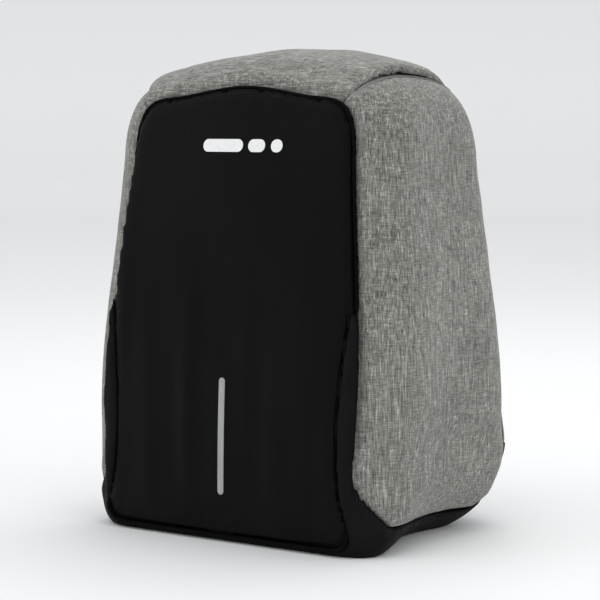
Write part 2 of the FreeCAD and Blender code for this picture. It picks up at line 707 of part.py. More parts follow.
def handle_webbing():
    """The arch with an eye at each end that turns on its anchor's pin."""
    arch = handle_arch(WEB_THICK, WEB / 2 - 1.5, HANDLE_Y)
    pieces = arch
    for x in (HANDLE_X - WEB_THICK, -HANDLE_X):
        eye = Part.makeCylinder(4.4, WEB_THICK, V(x, HANDLE_Y, HANDLE_Z), X_AXIS)
        hole = Part.makeCylinder(2.0 + 0.05, WEB_THICK + 2, V(x - 1, HANDLE_Y, HANDLE_Z), X_AXIS)
        pieces = pieces.fuse(eye)
        pieces = pieces.cut(hole)
    return rim(pieces)


def handle_grip():
    """The wrapped middle of the handle."""
    half = HANDLE_X - 25.0
    z = HANDLE_Z - HANDLE_DROP
    grip = block(-half, half, HANDLE_Y - WEB / 2, HANDLE_Y + WEB / 2, z - 3.5, z + WEB_THICK + 3.5)
    grip = rounded(grip, 4.0, "x")
    slot = block(-half - 1, half + 1, HANDLE_Y - WEB / 2 + 1.5, HANDLE_Y + WEB / 2 - 1.5, z, z + WEB_THICK)
    return rim(grip.cut(slot))


def handle_anchors():
    """Sewn tabs on the rear panel; each carries the pin that a handle end turns on."""
    tabs = []
    for x in (HANDLE_X + GAP, -HANDLE_X - GAP - 3.0):
        inner = HANDLE_X if x > 0 else -HANDLE_X
        tab = block(x, x + 3.0, PANEL_BACK, HANDLE_Y + 4, HANDLE_Z - 5, HANDLE_Z + 5)
        reach = WEB_THICK + GAP + 0.6
        start = inner - WEB_THICK - 0.6 if x > 0 else x + 1.5
        pin = Part.makeCylinder(2.0, reach + 1.5, V(start, HANDLE_Y, HANDLE_Z), X_AXIS)
        tabs.append(rim(rounded(tab, 2.0, "x").fuse(pin)))
    return group(tabs)


# ---- charging port -------------------------------------------------------------------------------
def on_wall(shape):
    """Turns a piece built upright to follow the side wall's lean."""
    shape = shape.copy()
    shape.rotate(PORT, V(0, 1, 0), PORT_LEAN)
    return shape


def port_block(margin, inwards, outwards):
    """An upright oblong through the port's middle, reaching that far in and out of the wall."""
    width, height = PORT_SIZE
    w, h = width / 2 - margin, height / 2 - margin
    body = block(PORT.x - outwards, PORT.x + inwards, PORT.y - w, PORT.y + w, PORT.z - h, PORT.z + h)
    return rounded(body, 4.0, "x")


def port_housing():
    """Rubber bezel with a neck through the side wall, and the socket's seat."""
    body = port_block(0.0, 0.0, PORT_PLATE).fuse(port_block(5.0, 18.0, 0.5))
    d, h = SOCKET[0] / 2, SOCKET[1] / 2
    seat = block(PORT.x - 30, PORT.x + 30, PORT.y - d, PORT.y + d, PORT.z - h, PORT.z + h)
    return on_wall(body.cut(seat))


def port_socket():
    """Folded metal shell with its contact tongue."""
    depth, height, reach = SOCKET
    shell = 0.35
    x0, x1 = PORT.x - PORT_PLATE + 0.6, PORT.x - PORT_PLATE + 0.6 + reach
    y0, y1, z0, z1 = PORT.y - depth / 2, PORT.y + depth / 2, PORT.z - height / 2, PORT.z + height / 2
    tube = block(x0, x1, y0, y1, z0, z1).cut(
        block(x0 - 1, x1 - 2.0, y0 + shell, y1 - shell, z0 + shell, z1 - shell)
    )
    tongue = block(x0 + 2, x1 - 1.5, y0 + 1.2, y0 + 3.0, z0 + 1.2, z1 - 1.2)
    return on_wall(tube.fuse(tongue))


COVER_THICK = 2.4
COVER_X = PORT.x - PORT_PLATE - GAP - COVER_THICK / 2
COVER_HINGE_Z = PORT.z + PORT_SIZE[1] / 2 - 3.0


def port_cover():
    """Rubber flap over the socket, turning about a roll at its upper edge."""
    width, height = PORT_SIZE
    w = width / 2 - 2.0
    t = COVER_THICK / 2
    foot = PORT.z - height / 2
    flap = block(COVER_X - t, COVER_X + t, PORT.y - w, PORT.y + w, foot + 2, COVER_HINGE_Z)
    flap = rounded(flap, 1.0, "x")
    roll = Part.makeCylinder(t, 2 * w, V(COVER_X, PORT.y - w, COVER_HINGE_Z), V(0, 1, 0))
    grip = block(COVER_X - t - 1.2, COVER_X, PORT.y - 4, PORT.y + 4, foot + 3.5, foot + 6)
    return on_wall(flap.fuse(roll).fuse(grip))


# ---- write the parts -----------------------------------------------------------------------------
def pieces():
    base, top, side_left, side_right, bindings = shell_pieces()
    pad = shoulder_pad()
    webbing = strap_webbing()
    wing = anchor_wing()
    loop = lock_loop()
    lock = ladder_lock()
    tail = strap_tail()
    upper, lower = MEET_Z + SLIDER_LENGTH / 2 + 0.4, MEET_Z - SLIDER_LENGTH / 2 - 0.4
    upper_pad = back_pad(10, 98, 232, 313, 16)
    return {
        "base_tub": base,
        "top_gusset": top,
        "side_panel_left": side_left,
        "side_panel_right": side_right,
        "corner_seam_bindings": bindings,
        "front_cover": front_cover(),
        "front_piping": front_piping(),
        "front_board": front_board(),
        "front_lining": front_lining(),
        "base_board": base_board(),
        "reflective_strip": reflective_strip(),
        "printed_mark": printed_mark(),
        "organizer_pocket": organizer_pocket(),
        "battery_pocket": battery_pocket(),
        "zip_tape_gusset": zip_tape(0, SHELL_COIL[0]),
        "zip_coil_gusset": zip_coil(*SHELL_COIL),
        "zip_tape_panel": zip_tape(PANEL_COIL[1], PANEL_FRONT),
        "zip_coil_panel": zip_coil(*PANEL_COIL),
        "zip_end_stops": zip_stops(),
        "zip_slider_upper": on_track(slider(), upper),
        "zip_slider_lower": on_track(slider(), lower),
        "zip_pull_upper": on_track(pull_tab(3.1, UPPER_PULL), upper),
        "zip_pull_lower": on_track(pull_tab(1.1, LOWER_PULL), lower),
        "hinge_strip": hinge_strip(),
        "rear_panel": rear_panel(),
        "rear_board": rear_board(),
        "back_pad_right": upper_pad,
        "back_pad_left": mirrored(upper_pad),
        "lumbar_pad": back_pad(-86, 86, 100, 160, 18),
        "luggage_strap": luggage_strap(),
        "laptop_sleeve": laptop_sleeve(),
        "sleeve_tab": sleeve_tab(),
        "strap_yoke": strap_yoke(),
        "shoulder_pad_right": pad,
        "shoulder_pad_left": mirrored(pad),
        "lock_loop_right": loop,
        "lock_loop_left": mirrored(loop),
        "ladder_lock_right": lock,
        "ladder_lock_left": mirrored(lock),
        "strap_tail_right": tail,
        "strap_tail_left": mirrored(tail),
        "strap_webbing_right": webbing,
        "strap_webbing_left": mirrored(webbing),
        "anchor_wing_right": wing,
        "anchor_wing_left": mirrored(wing),
        "handle_anchors": handle_anchors(),
        "handle_webbing": handle_webbing(),
        "handle_grip": handle_grip(),
        "port_housing": port_housing(),
        "port_socket": port_socket(),
        "port_cover": port_cover(),
    }


def report(name, shape):
    points = shape.tessellate(0.5)[0]
    spans = [(min(getattr(p, k) for p in points), max(getattr(p, k) for p in points)) for k in "xyz"]
    state = "ok" if shape.isValid() else "INVALID"
    text = " ".join(f"{k}[{a:.1f}, {b:.1f}]" for k, (a, b) in zip("xyz", spans))
    print(f"{name:22s} {state} solids {len(shape.Solids)} volume {shape.Volume / 1000:.1f} cm3 {text}")
    return spans


os.makedirs("parts", exist_ok=True)
made = pieces()
all_spans = []
for name, shape in made.items():
    all_spans.append(report(name, shape))
    shape.exportStep(f"parts/{name}.step")
for n, k in enumerate("xyz"):
    print(k, min(s[n][0] for s in all_spans), max(s[n][1] for s in all_spans))
hinge = rim_point(HINGE_Y, HINGE_Z)
print("panel hinge", hinge)
print("tab hinge", rim_point(TAB_Y, TAB_Z))
print("handle hinge", rim_point(HANDLE_Y, HANDLE_Z))
print("lock hinge", rim_point(LOCK_Y, LOCK_Z, LOCK_X))
track = rim_point(ZIP_MID, 300, zip_track_x(300)) - rim_point(ZIP_MID, 200, zip_track_x(200))
print("zip track", track.normalize())
pin = Part.Vertex(V(PULL_PIN_X, 0, 0))
for label, side in (("upper", 1), ("lower", -1)):
    print(label, "pull pin", on_track(pin, MEET_Z + side * (SLIDER_LENGTH / 2 + 0.4)).Point)
cover = Part.Vertex(V(COVER_X, PORT.y, COVER_HINGE_Z))
print("cover hinge", on_wall(cover).Point)
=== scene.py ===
from math import cos, exp, pi, radians, sin

import bmesh
import bpy
from mathutils import Matrix, Vector, noise
from mathutils.bvhtree import BVHTree


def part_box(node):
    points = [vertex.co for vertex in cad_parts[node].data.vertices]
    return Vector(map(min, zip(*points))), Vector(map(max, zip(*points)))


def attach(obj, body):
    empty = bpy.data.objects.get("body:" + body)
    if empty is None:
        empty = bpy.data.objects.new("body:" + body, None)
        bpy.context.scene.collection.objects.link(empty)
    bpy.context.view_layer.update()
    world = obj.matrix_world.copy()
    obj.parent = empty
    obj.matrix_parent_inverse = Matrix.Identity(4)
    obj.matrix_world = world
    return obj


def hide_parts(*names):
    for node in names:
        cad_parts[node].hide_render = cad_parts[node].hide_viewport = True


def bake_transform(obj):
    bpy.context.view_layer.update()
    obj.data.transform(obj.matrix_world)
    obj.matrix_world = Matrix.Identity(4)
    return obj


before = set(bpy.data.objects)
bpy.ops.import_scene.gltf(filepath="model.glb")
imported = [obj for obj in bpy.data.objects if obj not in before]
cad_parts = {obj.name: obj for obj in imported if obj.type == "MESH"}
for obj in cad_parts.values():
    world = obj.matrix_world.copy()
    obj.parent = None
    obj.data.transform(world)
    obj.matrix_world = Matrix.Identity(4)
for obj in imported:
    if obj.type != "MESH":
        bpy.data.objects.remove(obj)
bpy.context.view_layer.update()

# ---- Studio: a pale floor that sweeps up into a pale wall, one large soft light from the front left,
# a wide fill from the right and an even sky. The camera stands off the bag's front right corner,
# level with its top.
VIEW_TURN = 38
CAMERA_DROP = 4.42
FLOOR_HALF = 6.0

bpy.context.scene.view_settings.view_transform = "Standard"

camera = bpy.data.objects.new("camera", bpy.data.cameras.new("camera"))
bpy.context.collection.objects.link(camera)
camera.data.lens = 138.6
camera.data.sensor_width = 36.0
camera.location = (1.2589, -1.6338, 0.3592)
camera.rotation_euler = (radians(90 - CAMERA_DROP), 0, radians(VIEW_TURN))
bpy.context.scene.camera = camera

sky = bpy.data.worlds.new("sky")
sky.use_nodes = True
sky.node_tree.nodes["Background"].inputs["Color"].default_value = (0.97, 0.985, 1.0, 1)
sky.node_tree.nodes["Background"].inputs["Strength"].default_value = 1.09
bpy.context.scene.world = sky


def soft_light(name, place, target, size, power):
    """A square studio panel that faces a point."""
    lamp = bpy.data.objects.new(name, bpy.data.lights.new(name, "AREA"))
    bpy.context.collection.objects.link(lamp)
    lamp.data.shape = "SQUARE"
    lamp.data.size = size
    lamp.data.energy = power
    lamp.location = place
    lamp.rotation_euler = (Vector(target) - Vector(place)).to_track_quat("-Z", "Y").to_euler()


soft_light("key", (-1.1, -2.2, 2.1), (0, 0, 0.2), 1.8, 5)
soft_light("fill", (2.6, -0.9, 1.3), (0, 0, 0.22), 1.8, 8)
soft_light("over", (-0.1, 0.8, 2.2), (0, 0, 0.3), 1.5, 16)

def smooth(mesh):
    """Shades a mesh as one soft surface."""
    for face in mesh.polygons:
        face.use_smooth = True


def set_out(name, shape):
    """A new object on a finished shape, which is then let go."""
    mesh = bpy.data.meshes.new(name)
    shape.to_mesh(mesh)
    shape.free()
    piece = bpy.data.objects.new(name, mesh)
    bpy.context.collection.objects.link(piece)
    return piece


sweep = bmesh.new()
bmesh.ops.create_grid(sweep, x_segments=1, y_segments=1, size=FLOOR_HALF)
back_edges = [e for e in sweep.edges if all(v.co.y > FLOOR_HALF - 0.1 for v in e.verts)]
for rise, run in ((0.15, 0.5), (0.6, 0.45), (1.6, 0.2), (9.0, 0.0)):
    made = bmesh.ops.extrude_edge_only(sweep, edges=back_edges)["geom"]
    raised = [g for g in made if isinstance(g, bmesh.types.BMVert)]
    bmesh.ops.translate(sweep, verts=raised, vec=(0, run, rise))
    back_edges = [g for g in made if isinstance(g, bmesh.types.BMEdge)]
sweep.normal_update()
floor = set_out("floor", sweep)
smooth(floor.data)
floor.rotation_euler = (0, 0, radians(VIEW_TURN))
floor_paint = bpy.data.materials.new("floor_paint")
floor_paint.use_nodes = True
floor_shader = floor_paint.node_tree.nodes["Principled BSDF"]
floor_shader.inputs["Base Color"].default_value = (0.765, 0.765, 0.765, 1)
floor_shader.inputs["Roughness"].default_value = 0.7
floor.data.materials.append(floor_paint)


# ---- Wrap-round gusset, sides and top: heathered grey polyester cloth over thin foam, cut as two side
# panels and one top panel and sewn to the front, the base and each other. Stuffing pushes the cloth
# out between its seams, so every edge is drawn in and gathered.
CLOTH_GRID = 0.0021
THREAD_PITCH = 0.0011
BAND = pi / 10  # one band of an unscaled wave


def finish(name, colour, roughness, **sockets):
    """A new material; the other values go on the shader's own sockets."""
    material = bpy.data.materials.new(name)
    material.use_nodes = True
    tree = material.node_tree
    shader = tree.nodes["Principled BSDF"]
    shader.inputs["Base Color"].default_value = (*colour, 1)
    shader.inputs["Roughness"].default_value = roughness
    for socket, value in sockets.items():
        shader.inputs[socket.replace("_", " ")].default_value = value
    return material, tree, shader


def grain(tree, per_metre, detail=2.0, roughness=0.55):
    """Noise on the piece's own metres: so many cells a metre, alike or along X, Y and Z."""
    place = tree.nodes.new("ShaderNodeTexCoord")
    stretch = tree.nodes.new("ShaderNodeMapping")
    stretch.inputs["Scale"].default_value = [per_metre] * 3 if isinstance(per_metre, int) else per_metre
    cells = tree.nodes.new("ShaderNodeTexNoise")
    cells.inputs["Scale"].default_value = 1.0
    cells.inputs["Detail"].default_value = detail
    cells.inputs["Roughness"].default_value = roughness
    tree.links.new(place.outputs["Object"], stretch.inputs["Vector"])
    tree.links.new(stretch.outputs["Vector"], cells.inputs["Vector"])
    return cells.outputs["Fac"]


def ribs(tree, axis, pitch, turn=(0, 0, 0)):
    """Even bands across one axis, a pitch apart."""
    place = tree.nodes.new("ShaderNodeTexCoord")
    stretch = tree.nodes.new("ShaderNodeMapping")
    stretch.inputs["Scale"].default_value = [BAND / pitch] * 3
    stretch.inputs["Rotation"].default_value = turn
    bands = tree.nodes.new("ShaderNodeTexWave")
    bands.bands_direction = axis
    bands.wave_profile = "SIN"
    bands.inputs["Scale"].default_value = 1.0
    tree.links.new(place.outputs["Object"], stretch.inputs["Vector"])
    tree.links.new(stretch.outputs["Vector"], bands.inputs["Vector"])
    return bands.outputs["Fac"]


def sum_of(tree, terms, start=0.0):
    """start plus each factor times its weight."""
    total = None
    for factor, weight in terms:
        node = tree.nodes.new("ShaderNodeMath")
        node.operation = "MULTIPLY_ADD"
        tree.links.new(factor, node.inputs[0])
        node.inputs[1].default_value = weight
        if total is None:
            node.inputs[2].default_value = start
        else:
            tree.links.new(total, node.inputs[2])
        total = node.outputs[0]
    return total


def shade(tree, shader, factor, stops):
    """Colours a piece by a factor, through stops of a grey level or a colour."""
    ramp = tree.nodes.new("ShaderNodeValToRGB")
    while len(ramp.color_ramp.elements) < len(stops):
        ramp.color_ramp.elements.new(0.5)
    for element, (at, colour) in zip(ramp.color_ramp.elements, stops):
        element.position = at
        element.color = (colour, colour, colour, 1) if isinstance(colour, float) else (*colour, 1)
    tree.links.new(factor, ramp.inputs["Fac"])
    tree.links.new(ramp.outputs["Color"], shader.inputs["Base Color"])


def raise_by(tree, shader, factor, depth):
    """Bump of that depth in metres."""
    bump = tree.nodes.new("ShaderNodeBump")
    bump.inputs["Strength"].default_value = 1.0
    bump.inputs["Distance"].default_value = depth
    tree.links.new(factor, bump.inputs["Height"])
    tree.links.new(bump.outputs["Normal"], shader.inputs["Normal"])


def heather(name, long_axis):
    """Melange cloth: slubbed threads run along one axis, finer ones cross them."""
    material, tree, shader = finish(
        name, (0.2, 0.2, 0.19), 0.86, Sheen_Weight=0.12, Sheen_Roughness=0.5, Specular_IOR_Level=0.25)
    along = {"Z": (980, 980, 62), "X": (62, 980, 980)}[long_axis]
    across = {"Z": (120, 120, 1150), "X": (1150, 120, 120)}[long_axis]
    streaks = grain(tree, along, 3.0, 0.62)
    slubs = grain(tree, [a * 0.45 for a in along], 2.0, 0.5)
    picks = grain(tree, across, 2.0, 0.6)
    fibre = grain(tree, 1500, 1.0)
    cloud = grain(tree, 11, 2.0)
    mottle = sum_of(tree, ((streaks, 1.5), (slubs, 0.5), (picks, 0.85), (fibre, 0.3), (cloud, 0.16)), -1.155)
    shade(tree, shader, mottle, (
        (0.1, (0.048, 0.048, 0.043)), (0.4, (0.138, 0.137, 0.123)),
        (0.62, (0.222, 0.219, 0.200)), (0.92, (0.45, 0.445, 0.41))))
    level, upright = ribs(tree, "Z", THREAD_PITCH), ribs(tree, "Y", THREAD_PITCH)
    threads = sum_of(tree, ((level, 0.35), (upright, 0.25), (streaks, 0.8), (picks, 0.6)))
    raise_by(tree, shader, threads, 0.00022)
    return material


def own_mesh(node, name):
    """A new piece that starts as a welded copy of the node it stands for."""
    shape = bmesh.new()
    shape.from_mesh(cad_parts[node].data)
    bmesh.ops.remove_doubles(shape, verts=shape.verts, dist=0.00002)
    return set_out(name, shape)


def bake(piece):
    """Applies the piece's modifiers."""
    shown = piece.evaluated_get(bpy.context.evaluated_depsgraph_get())
    mesh = bpy.data.meshes.new_from_object(shown)
    piece.modifiers.clear()
    piece.data = mesh
    smooth(mesh)


def even_cloth(piece, grid, rounds=3):
    """Rebuilds the piece as an even net of small faces with softened edges."""
    net = piece.modifiers.new("net", "REMESH")
    net.mode = "VOXEL"
    net.voxel_size = grid
    bake(piece)
    shape = bmesh.new()
    shape.from_mesh(piece.data)
    for _ in range(rounds):
        bmesh.ops.smooth_vert(
            shape, verts=shape.verts, factor=0.5, use_axis_x=True, use_axis_y=True, use_axis_z=True)
    shape.to_mesh(piece.data)
    shape.free()
    smooth(piece.data)


def seam_tree(*nodes):
    """The pieces that a cloth is sewn to, to measure distances from its seams."""
    shape = bmesh.new()
    for node in nodes:
        shape.from_mesh(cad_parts[node].data)
    tree = BVHTree.FromBMesh(shape)
    shape.free()
    return tree


def work_cloth(piece, move):
    """Moves each point of the outer face by move(point, normal); a point faces out from the bag's core."""
    mesh = piece.data
    places = [v.co.copy() for v in mesh.vertices]
    normals = [v.normal.copy() for v in mesh.vertices]
    for vertex, co, normal in zip(mesh.vertices, places, normals):
        core = Vector((0.3 * co.x, -0.02 + 0.3 * (co.y + 0.02), min(max(co.z, 0.09), 0.33)))
        facing = normal.dot((co - core).normalized())
        if facing > 0:
            vertex.co = co + move(co, normal) * min(1.0, facing * 3)
    mesh.update()


def drawn_in(tree, co, reach, depth, bulge, gather, pitch):
    """How far cloth stands out at a point: sunk at the seam, full and gathered just beside it."""
    foot, _, _, d = tree.find_nearest(co)
    if foot is None or d > reach:
        return 0.0
    near = 1 - d / reach
    swell = 4 * near * (1 - near)
    fold = noise.noise(foot / pitch) + 0.5 * noise.noise(foot / pitch * 2.3)
    return -depth * near**3 + swell * (bulge + gather * fold)


def slack(co):
    """Broad soft dents of hanging cloth."""
    return 0.0011 * noise.noise(Vector((co.x * 9, co.y * 14, co.z * 7))) + 0.0006 * noise.noise(co * 34)


LENS_FRONT, LENS_LENGTH = -0.088, 0.115


def lens(co):
    """From 0 to 1 along the corner seam, where the top panel bags out over the side panel."""
    t = (co.y - LENS_FRONT) / LENS_LENGTH
    return sin(pi * t) ** 0.8 if 0 < t < 1 else 0.0


side_cloth = heather("side_cloth", "Z")
front_seam = seam_tree("front_piping", "front_cover")
base_seam = seam_tree("base_tub")
corner_seam = seam_tree("corner_seam_bindings")
zip_seam = seam_tree("zip_tape_gusset", "hinge_strip")


def side_move(co, normal):
    out = 0.0006 + drawn_in(
        front_seam, co, reach=0.015, depth=0.0016, bulge=0.0012, gather=0.0015, pitch=0.009)
    out += drawn_in(base_seam, co, reach=0.014, depth=0.0022, bulge=0.0007, gather=0.0008, pitch=0.012)
    out += drawn_in(zip_seam, co, reach=0.016, depth=-0.0004, bulge=0.0011, gather=0.0004, pitch=0.014)
    _, _, _, d = corner_seam.find_nearest(co)
    if d < 0.02:
        near = 1 - d / 0.02
        out -= near**2 * (0.0012 + 0.0006 * lens(co))
    return normal * (out + slack(co))


for side in ("left", "right"):
    panel = own_mesh("side_panel_" + side, "side_cloth_" + side)
    even_cloth(panel, CLOTH_GRID)
    work_cloth(panel, side_move)
    panel.data.materials.append(side_cloth)
    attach(panel, "shell")
    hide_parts("side_panel_" + side)

top_cloth = heather("top_cloth", "X")
top_panel = own_mesh("top_gusset", "top_panel")
even_cloth(top_panel, CLOTH_GRID)


def top_move(co, normal):
    out = 0.0005 + drawn_in(
        front_seam, co, reach=0.018, depth=0.0014, bulge=0.0026, gather=0.0028, pitch=0.009)
    out += drawn_in(zip_seam, co, reach=0.016, depth=-0.0004, bulge=0.0011, gather=0.0005, pitch=0.014)
    _, _, _, d = corner_seam.find_nearest(co)
    near = max(0.0, 1 - d / 0.030)
    out += 0.0046 * lens(co) * near**1.4 - 0.0015 * (1 - lens(co)) * near**3
    ridge = noise.noise(Vector((co.x * 26, co.y * 15 + co.x * 9, 2.0)))
    return normal * (out + slack(co) + 0.0016 * ridge * (1 - near))


def lift_off(piece):
    """Draws the top panel's edge up from the corner seams, through its whole thickness."""
    for vertex in piece.data.vertices:
        _, _, _, d = corner_seam.find_nearest(vertex.co)
        near = max(0.0, 1 - d / 0.034)
        away = Vector((-0.66 if vertex.co.x > 0 else 0.66, 0, 0.75))
        vertex.co += away * (0.0066 * lens(vertex.co) * near)


work_cloth(top_panel, top_move)
lift_off(top_panel)
top_panel.data.materials.append(top_cloth)
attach(top_panel, "shell")
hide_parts("top_gusset")

# The seam allowance between top and side panels, bound in smooth grey lining. It lies deep in the
# seam and shows as a pale line in the shadow where the top panel bags over.
lining_cloth, lining_tree, lining_shader = finish(
    "lining_cloth", (0.16, 0.16, 0.158), 0.62, Sheen_Weight=0.05, Specular_IOR_Level=0.25)
lining_ribs = [(ribs(lining_tree, axis, 0.0007), 0.5) for axis in "ZX"]
lining_threads = sum_of(lining_tree, (*lining_ribs, (grain(lining_tree, 240), 0.6)))
shade(lining_tree, lining_shader, grain(lining_tree, (30, 30, 60), 3.0), (
    (0.3, (0.13, 0.13, 0.128)), (0.7, (0.19, 0.19, 0.187))))
raise_by(lining_tree, lining_shader, lining_threads, 0.00012)
bindings = own_mesh("corner_seam_bindings", "corner_bindings")
BINDING_SUNK = 0.0012
core = Vector((0, -0.02, 0.3))
for vertex in bindings.data.vertices:
    vertex.co += (core - vertex.co).normalized() * BINDING_SUNK
bindings.data.materials.append(lining_cloth)
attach(bindings, "shell")
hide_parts("corner_seam_bindings")

outside = seam_tree("top_gusset", "side_panel_left", "side_panel_right", "corner_seam_bindings")
SEAM_LEAN, SEAM_TWIST = radians(47), radians(3)
SEAM_X, SEAM_Y = 0.105, -0.095
STRIP_FRONT, STRIP_LENGTH, STRIP_STEPS, STRIP_ROWS = -0.092, 0.123, 46, 6
for side, hand, seam_z in (("right", 1, 0.378), ("left", -1, 0.362)):
    across = Vector((-hand * sin(SEAM_LEAN), sin(SEAM_TWIST), cos(SEAM_LEAN))).normalized()
    outward = across.cross(Vector((0, 1, 0))).normalized()
    if outward.x * hand < 0:
        outward.negate()
    strip = bmesh.new()
    rows = []
    for step in range(STRIP_STEPS + 1):
        back = STRIP_FRONT + STRIP_LENGTH * step / STRIP_STEPS - SEAM_Y
        on_seam = Vector((hand * SEAM_X, SEAM_Y, seam_z)) + Vector((0, back, -across.y / across.z * back))
        start = on_seam + outward * 0.12
        foot, normal, _, _ = outside.ray_cast(start, -outward)
        if foot is None:
            continue
        row = []
        for k in range(STRIP_ROWS + 1):
            t = k / STRIP_ROWS
            rise = -0.0016 + 0.0118 * lens(foot) * t + 0.0012 * t
            sunk = 0.0011 + 0.0026 * lens(foot) * t**0.6
            row.append(strip.verts.new(foot + across * rise - outward * (sunk + rise * 0.35)))
        rows.append(row)
    for a, b in zip(rows[:-1], rows[1:]):
        for k in range(STRIP_ROWS):
            strip.faces.new((a[k], a[k + 1], b[k + 1], b[k]))
    bmesh.ops.recalc_face_normals(strip, faces=strip.faces)
    allowance = set_out("seam_allowance_" + side, strip)
    wall = allowance.modifiers.new("wall", "SOLIDIFY")
    wall.thickness = 0.0006
    wall.offset = 0.0
    bake(allowance)
    allowance.data.materials.append(lining_cloth)
    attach(allowance, "shell")

# ---- Base tub: plain black polyester cut in one piece, folded up round the bottom and sewn to the
# sides. Two horns of the same cloth rise beside the front cover's lower corners, and at the rear
# corners the cloth folds into a lobe.
base_cloth, base_tree, base_shader = finish(
    "base_cloth", (0.004, 0.004, 0.0046), 0.66, Specular_IOR_Level=0.08)
base_ribs = [(ribs(base_tree, axis, 0.0009), 0.4) for axis in "XYZ"]
base_weave = sum_of(base_tree, (*base_ribs, (grain(base_tree, 700), 0.7)))
base_wear = sum_of(base_tree, ((grain(base_tree, 16, 3.0), 0.7), (grain(base_tree, 900), 0.4)), -0.05)
shade(base_tree, base_shader, base_wear, ((0.25, (0.0024, 0.0024, 0.0028)), (0.75, (0.0062, 0.0062, 0.0071))))
raise_by(base_tree, base_shader, base_weave, 0.00016)

tub = own_mesh("base_tub", "base_cloth_tub")
even_cloth(tub, 0.0022, 2)
side_seam = seam_tree("side_panel_left", "side_panel_right")
cover_seam = seam_tree("front_cover")


def tub_move(co, normal):
    out = drawn_in(side_seam, co, reach=0.014, depth=0.0024, bulge=0.0008, gather=0.0010, pitch=0.013)
    out += drawn_in(cover_seam, co, reach=0.010, depth=0.0016, bulge=0.0005, gather=0.0006, pitch=0.014)
    if co.z < 0.035 and abs(co.x) > 0.09:
        crease = exp(-(((co.y - 0.004 - 0.25 * (0.02 - co.z)) / 0.0035) ** 2))
        lobe = exp(-(((co.y - 0.034) / 0.022) ** 2))
        out += (0.0016 * lobe - 0.0042 * crease) * min(1.0, (abs(co.x) - 0.09) / 0.03)
    if co.z > 0.006:
        out += 0.6 * slack(co)
    return normal * out if normal.z > -0.7 else Vector((0, 0, 0))


work_cloth(tub, tub_move)
tub.data.materials.append(base_cloth)
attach(tub, "shell")
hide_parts("base_tub")

# ---- Front cover: smooth coated black cloth over a foam sheet and a stiff board, crowned by the
# stuffing behind. Long soft upright folds run over its lower half, and its edge is rolled into the
# piped seam.
cover_cloth, cover_tree, cover_shader = finish(
    "cover_cloth", (0.003, 0.003, 0.003), 0.5, Specular_IOR_Level=0.05)
cover_ribs = [(ribs(cover_tree, axis, 0.0006), 0.5) for axis in "XZ"]
cover_weave = sum_of(cover_tree, (*cover_ribs, (grain(cover_tree, 900), 0.7)))
cover_wear = sum_of(
    cover_tree, ((grain(cover_tree, (9, 9, 6), 3.0), 0.8), (grain(cover_tree, 1100), 0.3)), -0.05)
shade(cover_tree, cover_shader, cover_wear, ((0.25, 0.0016), (0.8, (0.0046, 0.0046, 0.0045))))
raise_by(cover_tree, cover_shader, cover_weave, 0.00008)

cover = own_mesh("front_cover", "front_cover_cloth")
even_cloth(cover, CLOTH_GRID, 4)
cover_rim = seam_tree("front_piping", "base_tub")


def cover_move(co, normal):
    if normal.y > -0.2:
        return Vector((0, 0, 0))
    out = drawn_in(cover_rim, co, reach=0.020, depth=0.0022, bulge=0.0002, gather=0.0005, pitch=0.016)
    low = min(1.0, max(0.0, (0.27 - co.z) / 0.10)) * min(1.0, max(0.0, (co.z - 0.012) / 0.05))
    fold = noise.noise(Vector((co.x * 30 + 3.1, 0.7, co.z * 4.2)))
    fold += 0.6 * noise.noise(Vector((co.x * 55, 4.2, co.z * 7 + co.x * 6)))
    clear = 1.0
    if 0.03 < co.z < 0.155:
        clear = min(1.0, max(0.0, (abs(co.x) - 0.006) / 0.02))
    if 0.325 < co.z < 0.355 and abs(co.x) < 0.055:
        clear = 0.0
    out += clear * (low * (0.0021 * fold - 0.0008) - 0.0003)
    return normal * out


work_cloth(cover, cover_move)
cover.data.materials.append(cover_cloth)
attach(cover, "shell")
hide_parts("front_cover")

# Piping round the front cover: a cord rolled in a matt black bias strip, its two edges caught in the
# seam between the cover and the gusset.
piping_cloth, piping_tree, piping_shader = finish(
    "piping_cloth", (0.002, 0.002, 0.002), 0.85, Specular_IOR_Level=0.04)
raise_by(piping_tree, piping_shader, ribs(piping_tree, "Z", 0.0012, turn=(0, radians(45), 0)), 0.00015)
shade(piping_tree, piping_shader, grain(piping_tree, 300), ((0.3, 0.0020), (0.7, 0.0040)))
piping = own_mesh("front_piping", "front_piping_roll")
even_cloth(piping, 0.0011, 4)
piping.data.materials.append(piping_cloth)
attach(piping, "shell")
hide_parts("front_piping")


# ---- Transfers on the front: a silver-grey reflective strip set with fine glass beads, and a white
# printed mark of three plain bars, both pressed on with heat.
def paint(node, material):
    """Gives a moulded or printed piece its finish."""
    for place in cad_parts[node].material_slots:
        place.material = material


beads, beads_tree, beads_shader = finish("beads", (0.30, 0.305, 0.31), 0.5, Specular_IOR_Level=0.5)
bead_glint = sum_of(
    beads_tree, ((grain(beads_tree, 1600, 1.0), 0.6), (grain(beads_tree, (60, 60, 20), 2.0), 0.4)))
shade(beads_tree, beads_shader, bead_glint, ((0.3, (0.22, 0.222, 0.226)), (0.7, (0.40, 0.405, 0.41))))
raise_by(beads_tree, beads_shader, grain(beads_tree, 2400, 0.0), 0.00008)
paint("reflective_strip", beads)
ink, ink_tree, ink_shader = finish("ink", (0.78, 0.78, 0.78), 0.45)
shade(ink_tree, ink_shader, grain(ink_tree, 400, 2.0), ((0.2, 0.70), (0.8, 0.82)))
raise_by(ink_tree, ink_shader, ribs(ink_tree, "X", 0.0006), 0.00003)
paint("printed_mark", ink)

